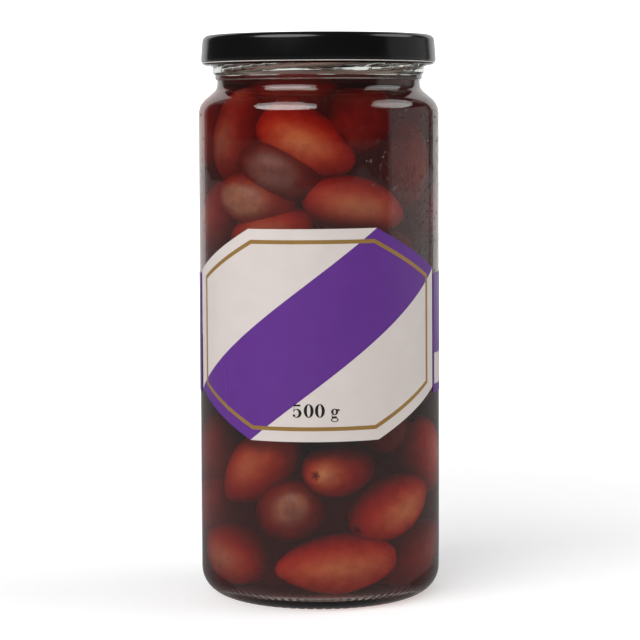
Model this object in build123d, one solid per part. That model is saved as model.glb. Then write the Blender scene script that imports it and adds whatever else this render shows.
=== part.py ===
"""Tall twist-off glass jar of olives in brine: glass, lid with its sealing ring, brine and two labels.

Millimetres. +Z is up and is the jar's axis, the origin is the centre of the base, and the front
label faces -Y. Profiles are drawn in the XZ plane as (radius, height) and turned about Z.
"""

from build123d import *
from math import cos, degrees, pi, radians, sin, tan
import os

# ---------------------------------------------------------------- jar body
BODY_DIAMETER = 71.0
WALL = 2.4
JAR_HEIGHT = 164.3  # from the table to the sealing rim
BASE_THICKNESS = 4.0
HEEL_RADIUS = 7.7  # outside, where the wall turns into the base
PUNT_DEPTH = 3.0  # the base is pushed up in the middle
PUNT_RADIUS = 17.0  # of the flat of the push-up
BEARING_WIDTH = 3.4  # of the flat ring that the jar stands on
PUNT_ROUNDING = 2.0

# ---------------------------------------------------------------- shoulder and neck, measured from the rim down
SHOULDER_DROP = 19.1  # rim to the corner of wall and shoulder cone
SHOULDER_STEP = 5.55  # how much narrower the waist is than the body, on the radius
SHOULDER_ANGLE = 50.0  # of the cone, from the vertical
SHOULDER_ROUNDING = 6.0
WAIST_ROUNDING = 3.0
INNER_SHOULDER_ROUNDING = 3.6
INNER_WAIST_ROUNDING = 5.0

# ---------------------------------------------------------------- mouth: handling ring, finish wall and threads
RING_DROP = 11.9  # rim to the underside of the handling ring
RING_HEIGHT = 1.3
RING_PROUD = 0.6  # of the waist
RING_ROUNDING = 0.35
FINISH_PROUD = 1.25  # of the waist: the wall that carries the threads
FINISH_BLEND = 1.5  # height over which the ring widens into that wall
RIM_WALL = 3.4  # thickness of the glass at the mouth
RIM_ROUNDING = 1.2
THREAD_COUNT = 4
THREAD_PROUD = 1.3  # of the finish wall
THREAD_HALF_HEIGHT = 0.8
THREAD_ROOT = 0.5  # how deep the ridge is bedded in the finish wall
THREAD_PITCH = 13.0
THREAD_SWEEP = 118.0  # degrees that one ridge covers
THREAD_START_DROP = 9.3  # rim to the middle of a ridge at its low end
THREAD_START_ANGLE = -61.0  # of the first low end, from the front towards +X

# ---------------------------------------------------------------- lid, a pressed tinplate cap
LID_METAL = 0.3
LID_CLEARANCE = 1.35  # skirt to thread crests
LID_FLARE = 0.5  # how much wider the skirt is at its curl than at the top
LID_DEPTH = 8.8  # top of the ring to the bottom of the curl
LID_CORNER_ROUNDING = 1.9
LID_PANEL_CLEARANCE = 0.5  # the sunk panel to the mouth of the glass
LID_PANEL_DROP = 1.1  # raised ring to panel
LID_BUTTON_RADIUS = 12.0
LID_BUTTON_RISE = 0.45
LID_STEP_SLOPE = 0.9  # sideways run of each step in the panel
CURL_WIDTH = 1.9  # of the rolled edge
CURL_HEIGHT = 2.3
CURL_ROUNDING = 1.5  # outside, at the bottom
CURL_INNER_ROUNDING = 0.35
LUG_WIDTH_ANGLE = 10.0
LUG_THICKNESS = 0.85
LUG_CLEARANCE = 0.35  # lug tip to finish wall
LUG_THREAD_ANGLE = 105.0  # of a lug's middle, from the low end of the ridge that it holds under
SEAL_THICKNESS = 0.9
SEAL_CLEARANCE = 0.4  # its inner edge to the lid's panel
SEAL_OVERHANG = 0.35  # its outer edge past the rim

# ---------------------------------------------------------------- contents and labels
BRINE_DROP = 11.7  # rim to the surface of the brine
LABEL_THICKNESS = 0.15
FRONT_LABEL_CENTRE = 79.8  # height above the table
FRONT_LABEL_WIDTH = 87.5  # along the glass
FRONT_LABEL_HEIGHT = 60.4
FRONT_LABEL_TOP_EDGE = 38.3  # left between the cut corners
FRONT_LABEL_SIDE_EDGE = 34.7
BACK_LABEL_CENTRE = 78.3
BACK_LABEL_HEIGHT = 35.2
LABEL_GAP_RIGHT = 1.0  # between the two labels, along the glass
LABEL_GAP_LEFT = 2.4

# ---------------------------------------------------------------- worked out from the sizes above
body_radius = BODY_DIAMETER / 2
inner_radius = body_radius - WALL
waist_radius = body_radius - SHOULDER_STEP
ring_radius = waist_radius + RING_PROUD
finish_radius = waist_radius + FINISH_PROUD
crest_radius = finish_radius + THREAD_PROUD
mouth_radius = finish_radius - RIM_WALL
shoulder_z = JAR_HEIGHT - SHOULDER_DROP
waist_z = shoulder_z + SHOULDER_STEP / tan(radians(SHOULDER_ANGLE))
ring_z = JAR_HEIGHT - RING_DROP
brine_z = JAR_HEIGHT - BRINE_DROP
lid_top_z = JAR_HEIGHT + SEAL_THICKNESS + LID_METAL
lid_bottom_z = lid_top_z - LID_DEPTH
skirt_inner_radius = crest_radius + LID_CLEARANCE
skirt_radius = skirt_inner_radius + LID_METAL
lid_radius = skirt_radius + LID_FLARE
lid_ring_inner_radius = mouth_radius - LID_PANEL_CLEARANCE - LID_METAL
curl_z = lid_bottom_z + CURL_HEIGHT / 2


def turned(corners):
    """Solid of revolution about Z of a closed outline of (radius, height, rounding) corners."""
    points = [(r, z) for r, z, _ in corners]
    with BuildSketch(Plane.XZ) as outline:
        with BuildLine():
            FilletPolyline(*points, radius=[rounding for *_, rounding in corners], close=True)
        make_face()
    return revolve(outline.sketch, axis=Axis.Z)


def around(angle):
    """Unit vector in the XY plane at an angle from the front, -Y, towards +X."""
    return Vector(sin(radians(angle)), -cos(radians(angle)), 0)


def cavity():
    """The inside of the glass, from the base to just past the rim, as a solid."""
    inner_waist_z = waist_z - WALL / 2
    inner_shoulder_z = inner_waist_z - (inner_radius - mouth_radius) / tan(radians(SHOULDER_ANGLE))
    return turned(
        [
            (0, BASE_THICKNESS + PUNT_DEPTH, 0),
            (PUNT_RADIUS, BASE_THICKNESS + PUNT_DEPTH, PUNT_ROUNDING),
            (PUNT_RADIUS + 2 * PUNT_DEPTH, BASE_THICKNESS, PUNT_ROUNDING),
            (inner_radius, BASE_THICKNESS, HEEL_RADIUS - WALL),
            (inner_radius, inner_shoulder_z, INNER_SHOULDER_ROUNDING),
            (mouth_radius, inner_waist_z, INNER_WAIST_ROUNDING),
            (mouth_radius, JAR_HEIGHT + WALL, 0),
            (0, JAR_HEIGHT + WALL, 0),
        ]
    )


def glass_outside():
    """The outer form of the glass as a solid, without its threads."""
    bearing_outer = body_radius - HEEL_RADIUS
    bearing_inner = bearing_outer - BEARING_WIDTH
    return turned(
        [
            (0, PUNT_DEPTH, 0),
            (PUNT_RADIUS, PUNT_DEPTH, PUNT_ROUNDING),
            (bearing_inner, 0, PUNT_ROUNDING),
            (body_radius, 0, HEEL_RADIUS),
            (body_radius, shoulder_z, SHOULDER_ROUNDING),
            (waist_radius, waist_z, WAIST_ROUNDING),
            (waist_radius, ring_z, 0),
            (ring_radius, ring_z, RING_ROUNDING),
            (ring_radius, ring_z + RING_HEIGHT, RING_ROUNDING),
            (finish_radius, ring_z + RING_HEIGHT + FINISH_BLEND, 0),
            (finish_radius, JAR_HEIGHT, RIM_ROUNDING),
            (0, JAR_HEIGHT, 0),
        ]
    )


def thread_ridge(start_angle):
    """One sloping ridge of the finish, bedded in the wall and cut off square at both ends."""
    rise = THREAD_PITCH * THREAD_SWEEP / 360
    path = Helix(pitch=THREAD_PITCH, height=rise, radius=finish_radius)
    section = Plane(origin=path @ 0, x_dir=(1, 0, 0), z_dir=path % 0)
    with BuildSketch(section) as ridge:
        with BuildLine():
            Polyline(
                (-THREAD_ROOT, -THREAD_HALF_HEIGHT),
                (0, -THREAD_HALF_HEIGHT),
                (THREAD_PROUD, -THREAD_HALF_HEIGHT / 2),
                (THREAD_PROUD, THREAD_HALF_HEIGHT / 2),
                (0, THREAD_HALF_HEIGHT),
                (-THREAD_ROOT, THREAD_HALF_HEIGHT),
                close=True,
            )
        make_face()
    ridge = sweep(ridge.sketch, path=path, is_frenet=True)
    low_end_z = JAR_HEIGHT - THREAD_START_DROP
    return Pos(0, 0, low_end_z) * Rot(0, 0, start_angle - 90) * ridge


def jar():
    """The glass: outside and threads in one, less the cavity and the rounding of the mouth."""
    glass = glass_outside()
    for i in range(THREAD_COUNT):
        glass += thread_ridge(THREAD_START_ANGLE + i * 360 / THREAD_COUNT)
    glass -= cavity()
    mouth = [e for e in glass.edges().filter_by(GeomType.CIRCLE) if is_mouth_edge(e)]
    return fillet(mouth, RIM_ROUNDING)


def is_mouth_edge(edge):
    """True for the sharp inner edge of the rim."""
    return abs(edge.radius - mouth_radius) < 0.01 and abs(edge.center().Z - JAR_HEIGHT) < 0.01


def brine():
    """The liquid, filling the cavity up to its surface in the neck."""
    above = Pos(0, 0, brine_z) * Cylinder(
        inner_radius, JAR_HEIGHT, align=(Align.CENTER, Align.CENTER, Align.MIN)
    )
    return cavity() - above


def lid_shell():
    """The pressed cap: button, panel, raised ring, flared skirt and rolled edge."""
    panel_outer = lid_ring_inner_radius - LID_STEP_SLOPE
    button_outer = LID_BUTTON_RADIUS + LID_STEP_SLOPE
    panel_z = lid_top_z - LID_PANEL_DROP
    button_z = panel_z + LID_BUTTON_RISE
    shell = turned(
        [
            (0, button_z, 0),
            (LID_BUTTON_RADIUS, button_z, LID_METAL),
            (button_outer, panel_z, LID_METAL),
            (panel_outer, panel_z, LID_METAL),
            (lid_ring_inner_radius, lid_top_z, LID_METAL * 2),
            (skirt_radius, lid_top_z, LID_CORNER_ROUNDING),
            (lid_radius, curl_z, 0),
            (lid_radius - LID_METAL, curl_z, 0),
            (skirt_inner_radius, lid_top_z - LID_METAL, LID_CORNER_ROUNDING - LID_METAL),
            (lid_ring_inner_radius + LID_METAL, lid_top_z - LID_METAL, LID_METAL),
            (panel_outer + LID_METAL, panel_z - LID_METAL, LID_METAL * 2),
            (button_outer, panel_z - LID_METAL, LID_METAL),
            (LID_BUTTON_RADIUS, button_z - LID_METAL, LID_METAL),
            (0, button_z - LID_METAL, 0),
        ]
    )
    rolled_edge = turned(
        [
            (lid_radius - CURL_WIDTH, lid_bottom_z, CURL_INNER_ROUNDING),
            (lid_radius, lid_bottom_z, CURL_ROUNDING),
            (lid_radius, lid_bottom_z + CURL_HEIGHT, CURL_INNER_ROUNDING),
            (lid_radius - CURL_WIDTH, lid_bottom_z + CURL_HEIGHT, CURL_INNER_ROUNDING),
        ]
    )
    return shell + rolled_edge


def lug(angle):
    """One inward tab of the rolled edge, which holds under a thread ridge."""
    outer = lid_radius - CURL_WIDTH / 2
    inner = finish_radius + LUG_CLEARANCE
    with BuildSketch(Plane.XZ) as section:
        with Locations(((inner + outer) / 2, lid_bottom_z + LUG_THICKNESS / 2)):
            RectangleRounded(outer - inner, LUG_THICKNESS, LUG_THICKNESS / 3)
    tab = revolve(section.sketch, axis=Axis.Z, revolution_arc=LUG_WIDTH_ANGLE)
    return Rot(0, 0, angle - 90 - LUG_WIDTH_ANGLE / 2) * tab


def lid():
    """The cap with its lugs."""
    cap = lid_shell()
    for i in range(THREAD_COUNT):
        cap += lug(THREAD_START_ANGLE + LUG_THREAD_ANGLE + i * 360 / THREAD_COUNT)
    return cap


def lid_seal():
    """The soft ring under the lid, squeezed between it and the rim."""
    inner = lid_ring_inner_radius + LID_METAL + SEAL_CLEARANCE
    outer = finish_radius + SEAL_OVERHANG
    ring = Pos(0, 0, JAR_HEIGHT + SEAL_THICKNESS / 2) * Cylinder(outer, SEAL_THICKNESS)
    return ring - Pos(0, 0, JAR_HEIGHT) * Cylinder(inner, SEAL_THICKNESS * 3)


def label_band(middle_angle, centre_z, width, height):
    """A rectangle of paper of that width along the glass, wrapped on the body."""
    arc = degrees(width / body_radius)
    with BuildSketch(Plane.XZ) as section:
        with Locations((body_radius + LABEL_THICKNESS / 2, centre_z)):
            Rectangle(LABEL_THICKNESS, height)
    band = revolve(section.sketch, axis=Axis.Z, revolution_arc=arc)
    return Rot(0, 0, middle_angle - 90 - arc / 2) * band


def front_label():
    """The eight-sided front label: a band whose corners are cut off by planes."""
    label = label_band(0, FRONT_LABEL_CENTRE, FRONT_LABEL_WIDTH, FRONT_LABEL_HEIGHT)
    side_angle = degrees(FRONT_LABEL_WIDTH / 2 / body_radius)
    top_angle = degrees(FRONT_LABEL_TOP_EDGE / 2 / body_radius)
    for across in (-1, 1):
        outward = around(across * (side_angle + top_angle) / 2)
        for up in (-1, 1):
            edge_z = FRONT_LABEL_CENTRE + up * FRONT_LABEL_HEIGHT / 2
            side_z = FRONT_LABEL_CENTRE + up * FRONT_LABEL_SIDE_EDGE / 2
            on_edge = around(across * top_angle) * body_radius + Vector(0, 0, edge_z)
            on_side = around(across * side_angle) * body_radius + Vector(0, 0, side_z)
            normal = (on_side - on_edge).cross(outward)
            if normal.Z * up < 0:
                normal = normal * -1
            cut = Plane(origin=(on_edge + on_side) / 2, x_dir=outward, z_dir=normal)
            label = label.split(cut, keep=Keep.BOTTOM)
    return label


def back_label():
    """The plain band that covers the rest of the way round, less a gap at each side."""
    width = 2 * pi * body_radius - FRONT_LABEL_WIDTH - LABEL_GAP_RIGHT - LABEL_GAP_LEFT
    middle = 180 + degrees((LABEL_GAP_RIGHT - LABEL_GAP_LEFT) / 2 / body_radius)
    return label_band(middle, BACK_LABEL_CENTRE, width, BACK_LABEL_HEIGHT)


NODES = {
    "jar": jar,
    "lid": lid,
    "lid_seal": lid_seal,
    "brine": brine,
    "front_label": front_label,
    "back_label": back_label,
}

os.makedirs("parts", exist_ok=True)
for name, build in NODES.items():
    piece = build()
    print(name, "volume", round(piece.volume), "solids", len(piece.solids()))
    export_step(piece, f"parts/{name}.step")
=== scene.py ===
"""Looks of a tall glass jar of dark olives in brine, with a black twist-off lid and two paper labels.

Every length in the classes is in millimetres and becomes metres where a mesh is made. +Z is up, the
jar's axis is Z, and the front label faces -Y. Angles round the jar count from the front towards +X.
"""

import logging
import math
import random
from dataclasses import dataclass, field
from enum import Enum

import bmesh
import bpy
import numpy as np
from mathutils import Matrix, Vector, noise


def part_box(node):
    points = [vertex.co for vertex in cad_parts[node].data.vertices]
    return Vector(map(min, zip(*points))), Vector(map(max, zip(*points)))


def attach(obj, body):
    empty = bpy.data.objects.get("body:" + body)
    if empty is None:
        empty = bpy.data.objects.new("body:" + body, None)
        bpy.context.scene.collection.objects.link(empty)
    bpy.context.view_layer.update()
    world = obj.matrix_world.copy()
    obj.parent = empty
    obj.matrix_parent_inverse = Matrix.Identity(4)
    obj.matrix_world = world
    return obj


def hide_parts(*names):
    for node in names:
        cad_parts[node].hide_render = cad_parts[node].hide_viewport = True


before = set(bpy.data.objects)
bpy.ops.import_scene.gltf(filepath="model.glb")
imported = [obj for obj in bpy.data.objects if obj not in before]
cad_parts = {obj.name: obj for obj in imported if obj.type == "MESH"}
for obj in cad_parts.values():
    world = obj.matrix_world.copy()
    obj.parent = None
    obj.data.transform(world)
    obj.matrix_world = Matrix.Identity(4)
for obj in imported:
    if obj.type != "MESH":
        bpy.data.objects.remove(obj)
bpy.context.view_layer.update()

MM = 0.001
BODY = "root"
log = logging.getLogger("olive_jar")

Corner = tuple[float, float, float]
Point = tuple[float, float]


# ---------------------------------------------------------------- helpers
def linear(colour: str) -> tuple[float, float, float, float]:
    """Turn an sRGB hex colour into linear values.

    Args:
        colour: Six hex digits after a #.

    Returns:
        Red, green, blue and an alpha of 1.
    """
    parts = [int(colour[i : i + 2], 16) / 255 for i in (1, 3, 5)]
    red, green, blue = (c / 12.92 if c <= 0.04045 else ((c + 0.055) / 1.055) ** 2.4 for c in parts)
    return red, green, blue, 1.0


def add_node(
    tree: bpy.types.NodeTree, kind: str, settings: dict | None = None, inputs: dict | None = None
) -> bpy.types.Node:
    """Add one node with its settings, its values and its links.

    Args:
        tree: The node tree that takes the node.
        kind: The node's type name.
        settings: Attributes of the node by name.
        inputs: For each input, by name or number, a value or the output socket that feeds it.

    Returns:
        The new node.
    """
    node = tree.nodes.new(kind)
    for name, value in (settings or {}).items():
        setattr(node, name, value)
    for name, value in (inputs or {}).items():
        if isinstance(value, bpy.types.NodeSocket):
            tree.links.new(value, node.inputs[name])
        else:
            node.inputs[name].default_value = value
    return node


def set_ramp(node: bpy.types.Node, stops: list[tuple[float, str]]) -> None:
    """Give a colour ramp its stops.

    Args:
        node: The colour ramp node.
        stops: Places from 0 to 1 with their hex colours.
    """
    ramp = node.color_ramp
    while len(ramp.elements) < len(stops):
        ramp.elements.new(0.5)
    for element, (place, colour) in zip(ramp.elements, stops):
        element.position = place
        element.color = linear(colour)


def around(radius: float, angle: float, height: float) -> Vector:
    """Point at a radius and an angle in degrees from the front towards +X, all in millimetres."""
    turn = math.radians(angle)
    return Vector((radius * math.sin(turn), -radius * math.cos(turn), height))


def angle_of(point: Vector) -> float:
    """Angle of a point in degrees, from the front towards +X."""
    return math.degrees(math.atan2(point.x, -point.y))


def left_of(point: Point, start: Point, end: Point) -> bool:
    """Whether a point lies left of the line from start to end."""
    across = (end[0] - start[0]) * (point[1] - start[1])
    return across > (end[1] - start[1]) * (point[0] - start[0])


def sides_of(corners: list[Point]) -> list[tuple[Point, Point]]:
    """Sides of a closed outline, each from its start to its end."""
    return list(zip(corners, corners[1:] + corners[:1]))


def smooth_step(low: float, high: float, value: float) -> float:
    """Smooth rise from 0 at low to 1 at high."""
    share = min(max((value - low) / (high - low), 0.0), 1.0)
    return share * share * (3 - 2 * share)


def rounded_outline(corners: list[Corner], degrees_per_step: float = 9.0) -> list[Point]:
    """Turn corners with roundings into the points of an outline.

    Args:
        corners: Radius, height and rounding of each corner. The first and last are left sharp.
        degrees_per_step: How much a rounding turns from one point to the next.

    Returns:
        The outline's points, from the first corner to the last.
    """
    points = [corners[0][:2]]
    for before, here, after in zip(corners, corners[1:], corners[2:]):
        rounding = here[2]
        corner = Vector(here[:2])
        back = (Vector(before[:2]) - corner).normalized()
        ahead = (Vector(after[:2]) - corner).normalized()
        opening = back.angle(ahead)
        if rounding <= 0 or opening > math.pi - 1e-3:
            points.append(tuple(corner))
            continue
        centre = corner + (back + ahead).normalized() * rounding / math.sin(opening / 2)
        start = corner + back * rounding / math.tan(opening / 2) - centre
        turn = math.pi - opening
        steps = max(2, round(math.degrees(turn) / degrees_per_step))
        side = 1 if back.cross(ahead) < 0 else -1
        for i in range(steps + 1):
            turned = Matrix.Rotation(side * turn * i / steps, 2) @ start
            points.append(tuple(centre + turned))
    points.append(corners[-1][:2])
    return points


def refined(points: list[Point], low: float, high: float, step: float) -> list[Point]:
    """Divide the steep stretches of an outline between two heights into short ones.

    Args:
        points: The outline.
        low: Height where the short stretches begin.
        high: Height where they end.
        step: Length of a short stretch.

    Returns:
        The outline with the points added.
    """
    result = [points[0]]
    for start, end in zip(points, points[1:]):
        middle = (start[1] + end[1]) / 2
        length = math.dist(start, end)
        steep = abs(end[1] - start[1]) > 0.5 * length
        count = max(1, math.ceil(length / step)) if steep and low < middle < high else 1
        for i in range(1, count + 1):
            share = i / count
            result.append(tuple(a + (b - a) * share for a, b in zip(start, end)))
    return result


def turned_mesh(points: list[Point], steps: int, closed: bool = False) -> bmesh.types.BMesh:
    """Spin an outline of radii and heights once round the jar's axis.

    Args:
        points: The outline in millimetres. An open one starts and ends on the axis.
        steps: How many columns the full turn has.
        closed: Whether the last point joins the first.

    Returns:
        A closed mesh in metres with its faces outwards.
    """
    bm = bmesh.new()
    verts = [bm.verts.new((r * MM, 0, z * MM)) for r, z in points]
    edges = [bm.edges.new(pair) for pair in zip(verts, verts[1:])]
    if closed:
        edges.append(bm.edges.new((verts[-1], verts[0])))
    bmesh.ops.spin(
        bm, geom=verts + edges, cent=(0, 0, 0), axis=(0, 0, 1), dvec=(0, 0, 0), angle=2 * math.pi,
        steps=steps, use_merge=True, use_duplicate=False,
    )
    bmesh.ops.remove_doubles(bm, verts=bm.verts, dist=0.5e-6)
    bmesh.ops.recalc_face_normals(bm, faces=bm.faces)
    return bm


def add_object(name: str, data: bpy.types.ID) -> bpy.types.Object:
    """Put an object with its data in the scene."""
    made = bpy.data.objects.new(name, data)
    bpy.context.collection.objects.link(made)
    return made


def as_mesh(name: str, bm: bmesh.types.BMesh, materials: list[bpy.types.Material]) -> bpy.types.Mesh:
    """Turn a bmesh, which is freed, into a mesh with its materials."""
    mesh = bpy.data.meshes.new(name)
    bm.to_mesh(mesh)
    bm.free()
    for material in materials:
        mesh.materials.append(material)
    return mesh


def as_piece(
    name: str, bm: bmesh.types.BMesh, materials: list[bpy.types.Material],
    stands_for: str | None = None, sharp_angle: float = 35.0,
) -> bpy.types.Object:
    """Finish a bmesh as an object that rides on the jar.

    Args:
        name: The piece's name.
        bm: Its mesh, which is freed.
        materials: One material for each material index of the faces.
        stands_for: The CAD node that the piece replaces, if any.
        sharp_angle: Edges that turn by more than this stay sharp, in degrees.

    Returns:
        The object.
    """
    mesh = as_mesh(name, bm, materials)
    mesh.shade_smooth()
    mesh.set_sharp_from_angle(angle=math.radians(sharp_angle))
    piece = add_object(name, mesh)
    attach(piece, BODY)
    if stands_for:
        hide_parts(stands_for)
    mesh.calc_loop_triangles()
    log.info("%s: %d triangles", name, len(mesh.loop_triangles))
    return piece


# ---------------------------------------------------------------- finishes
@dataclass(frozen=True)
class Finish:
    """A real material by its common name. Each kind says how its surface, and what it holds, is shaded."""

    name: str

    def surface(self, tree: bpy.types.NodeTree) -> bpy.types.NodeSocket:
        """Shader of the surface."""
        raise NotImplementedError

    def inside(self, tree: bpy.types.NodeTree) -> bpy.types.NodeSocket | None:
        """Shader of the inside, for what light goes into."""
        return None

    def make(self) -> bpy.types.Material:
        """Build the material."""
        material = bpy.data.materials.new(self.name)
        material.use_nodes = True
        tree = material.node_tree
        tree.nodes.clear()
        out = add_node(tree, "ShaderNodeOutputMaterial", None, {"Surface": self.surface(tree)})
        inside = self.inside(tree)
        if inside:
            tree.links.new(inside, out.inputs["Volume"])
        return material


def clear_surface(
    tree: bpy.types.NodeTree, ior: float, tint: str = "#ffffff", roughness: float = 0.0,
    normal: bpy.types.NodeSocket | None = None,
) -> bpy.types.NodeSocket:
    """Glass or water that lamp rays and bounced light pass straight through.

    Args:
        tree: The material's tree.
        ior: Its index of refraction.
        tint: Colour of what passes.
        roughness: How rough it is.
        normal: The relief on it, if any.

    Returns:
        The output of the mix.
    """
    glass = add_node(tree, "ShaderNodeBsdfGlass", None, {
        "Color": linear(tint), "Roughness": roughness, "IOR": ior
    })
    if normal:
        tree.links.new(normal, glass.inputs["Normal"])
    path = add_node(tree, "ShaderNodeLightPath")
    either = add_node(tree, "ShaderNodeMath", {"operation": "MAXIMUM"}, {
        0: path.outputs["Is Shadow Ray"], 1: path.outputs["Is Diffuse Ray"]
    })
    straight = add_node(tree, "ShaderNodeBsdfTransparent", None, {"Color": linear(tint)})
    mix = add_node(tree, "ShaderNodeMixShader", None, {
        0: either.outputs[0], 1: glass.outputs[0], 2: straight.outputs[0]
    })
    return mix.outputs[0]


def noise_in_mm(tree: bpy.types.NodeTree, grain: float, detail: float = 2.0) -> bpy.types.NodeSocket:
    """Noise whose blobs are about grain millimetres across, on the piece's own coordinates.

    Args:
        tree: The material's tree.
        grain: Size of a blob.
        detail: How many finer layers it has.

    Returns:
        The noise's value.
    """
    place = add_node(tree, "ShaderNodeTexCoord")
    texture = add_node(tree, "ShaderNodeTexNoise", None, {
        "Vector": place.outputs["Object"], "Scale": 1 / (grain * MM), "Detail": detail
    })
    return texture.outputs["Fac"]


def relief(
    tree: bpy.types.NodeTree, grain: float, depth: float, strength: float, detail: float = 2.0
) -> bpy.types.NodeSocket:
    """Bump of noise on a surface.

    Args:
        tree: The material's tree.
        grain: Size of a blob in millimetres.
        depth: Its depth in millimetres.
        strength: How much of it shows.
        detail: How many finer layers it has.

    Returns:
        The normal.
    """
    bump = add_node(tree, "ShaderNodeBump", None, {
        "Height": noise_in_mm(tree, grain, detail), "Distance": depth * MM, "Strength": strength
    })
    return bump.outputs[0]


def spread(
    tree: bpy.types.NodeTree, value: bpy.types.NodeSocket, target: Point, source: Point = (0.0, 1.0)
) -> bpy.types.NodeSocket:
    """Map a value from one range onto another, and hold it at the ends.

    Args:
        tree: The material's tree.
        value: The value.
        target: The range it comes out in.
        source: The range it comes in.

    Returns:
        The mapped value.
    """
    mapped = add_node(tree, "ShaderNodeMapRange", None, {
        "Value": value, "From Min": source[0], "From Max": source[1], "To Min": target[0],
        "To Max": target[1],
    })
    return mapped.outputs[0]


@dataclass(frozen=True)
class PressedGlass(Finish):
    """Soda-lime flint glass, blown in a mould: clear and glossy, faintly wavy, hardly tinted."""

    name: str = "soda-lime glass, blown in a mould"
    colour: str = "#fbfcfa"
    ior: float = 1.5
    wave: float = 9.0
    wave_depth: float = 0.04

    def surface(self, tree: bpy.types.NodeTree) -> bpy.types.NodeSocket:
        """Shader of the surface."""
        normal = relief(tree, self.wave, self.wave_depth, 0.5, 1.0)
        return clear_surface(tree, self.ior, self.colour, normal=normal)


@dataclass(frozen=True)
class OliveBrine(Finish):
    """Salt brine stained by dark olives: clear, but red light goes several times deeper than the rest."""

    name: str = "brine stained dark red"
    ior: float = 1.34
    passed: tuple[float, float, float] = (0.91, 0.24, 0.16)
    strength: float = 520.0
    haze: float = 30.0
    haze_colour: str = "#ff8478"

    def surface(self, tree: bpy.types.NodeTree) -> bpy.types.NodeSocket:
        """Shader of the surface."""
        return clear_surface(tree, self.ior)

    def inside(self, tree: bpy.types.NodeTree) -> bpy.types.NodeSocket:
        """Shader of the brine itself: the stain takes light away and the haze scatters it."""
        stain = add_node(tree, "ShaderNodeVolumeAbsorption", None, {
            "Color": (*self.passed, 1), "Density": self.strength
        })
        cloud = add_node(tree, "ShaderNodeVolumeScatter", None, {
            "Color": linear(self.haze_colour), "Density": self.haze
        })
        both = add_node(tree, "ShaderNodeAddShader", None, {0: stain.outputs[0], 1: cloud.outputs[0]})
        return both.outputs[0]


@dataclass(frozen=True)
class BlackLacquer(Finish):
    """Black stoving lacquer on tinplate: deep black, glossy under a slight orange peel."""

    name: str = "black lacquered tinplate"
    colour: str = "#0c0b0b"
    smoothest: float = 0.12
    dullest: float = 0.24
    peel: float = 1.3
    peel_depth: float = 0.01
    cloud: float = 7.0

    def surface(self, tree: bpy.types.NodeTree) -> bpy.types.NodeSocket:
        """Shader of the surface."""
        haze = spread(tree, noise_in_mm(tree, self.cloud, 4.0), (self.smoothest, self.dullest))
        shader = add_node(tree, "ShaderNodeBsdfPrincipled", None, {
            "Base Color": linear(self.colour), "Roughness": haze, "IOR": 1.5,
            "Normal": relief(tree, self.peel, self.peel_depth, 0.35),
        })
        return shader.outputs[0]


@dataclass(frozen=True)
class Plastisol(Finish):
    """Soft sealing compound or the coat inside the lid, cured: off-white, smooth, dull."""

    name: str = "cured sealing compound"
    colour: str = "#d8d2c6"
    cloud: float = 2.0

    def surface(self, tree: bpy.types.NodeTree) -> bpy.types.NodeSocket:
        """Shader of the surface."""
        mottle = spread(tree, noise_in_mm(tree, self.cloud), (0.5, 0.62))
        shader = add_node(tree, "ShaderNodeBsdfPrincipled", None, {
            "Base Color": linear(self.colour), "Roughness": mottle
        })
        return shader.outputs[0]


@dataclass(frozen=True)
class CoatedPaper(Finish):
    """Coated label paper, printed in one ink or left white: satin, with a faint cloudiness and fibre."""

    colour: str
    shade: str
    roughness: float = 0.42
    metallic: float = 0.0
    cloud: float = 6.0
    fibre: float = 0.35
    fibre_depth: float = 0.012

    def surface(self, tree: bpy.types.NodeTree) -> bpy.types.NodeSocket:
        """Shader of the surface."""
        tone = add_node(tree, "ShaderNodeMix", {"data_type": "RGBA"}, {
            0: noise_in_mm(tree, self.cloud, 5.0), 6: linear(self.shade), 7: linear(self.colour)
        })
        shader = add_node(tree, "ShaderNodeBsdfPrincipled", None, {
            "Base Color": tone.outputs[2], "Roughness": self.roughness, "Metallic": self.metallic,
            "Normal": relief(tree, self.fibre, self.fibre_depth, 0.4),
        })
        return shader.outputs[0]


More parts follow.
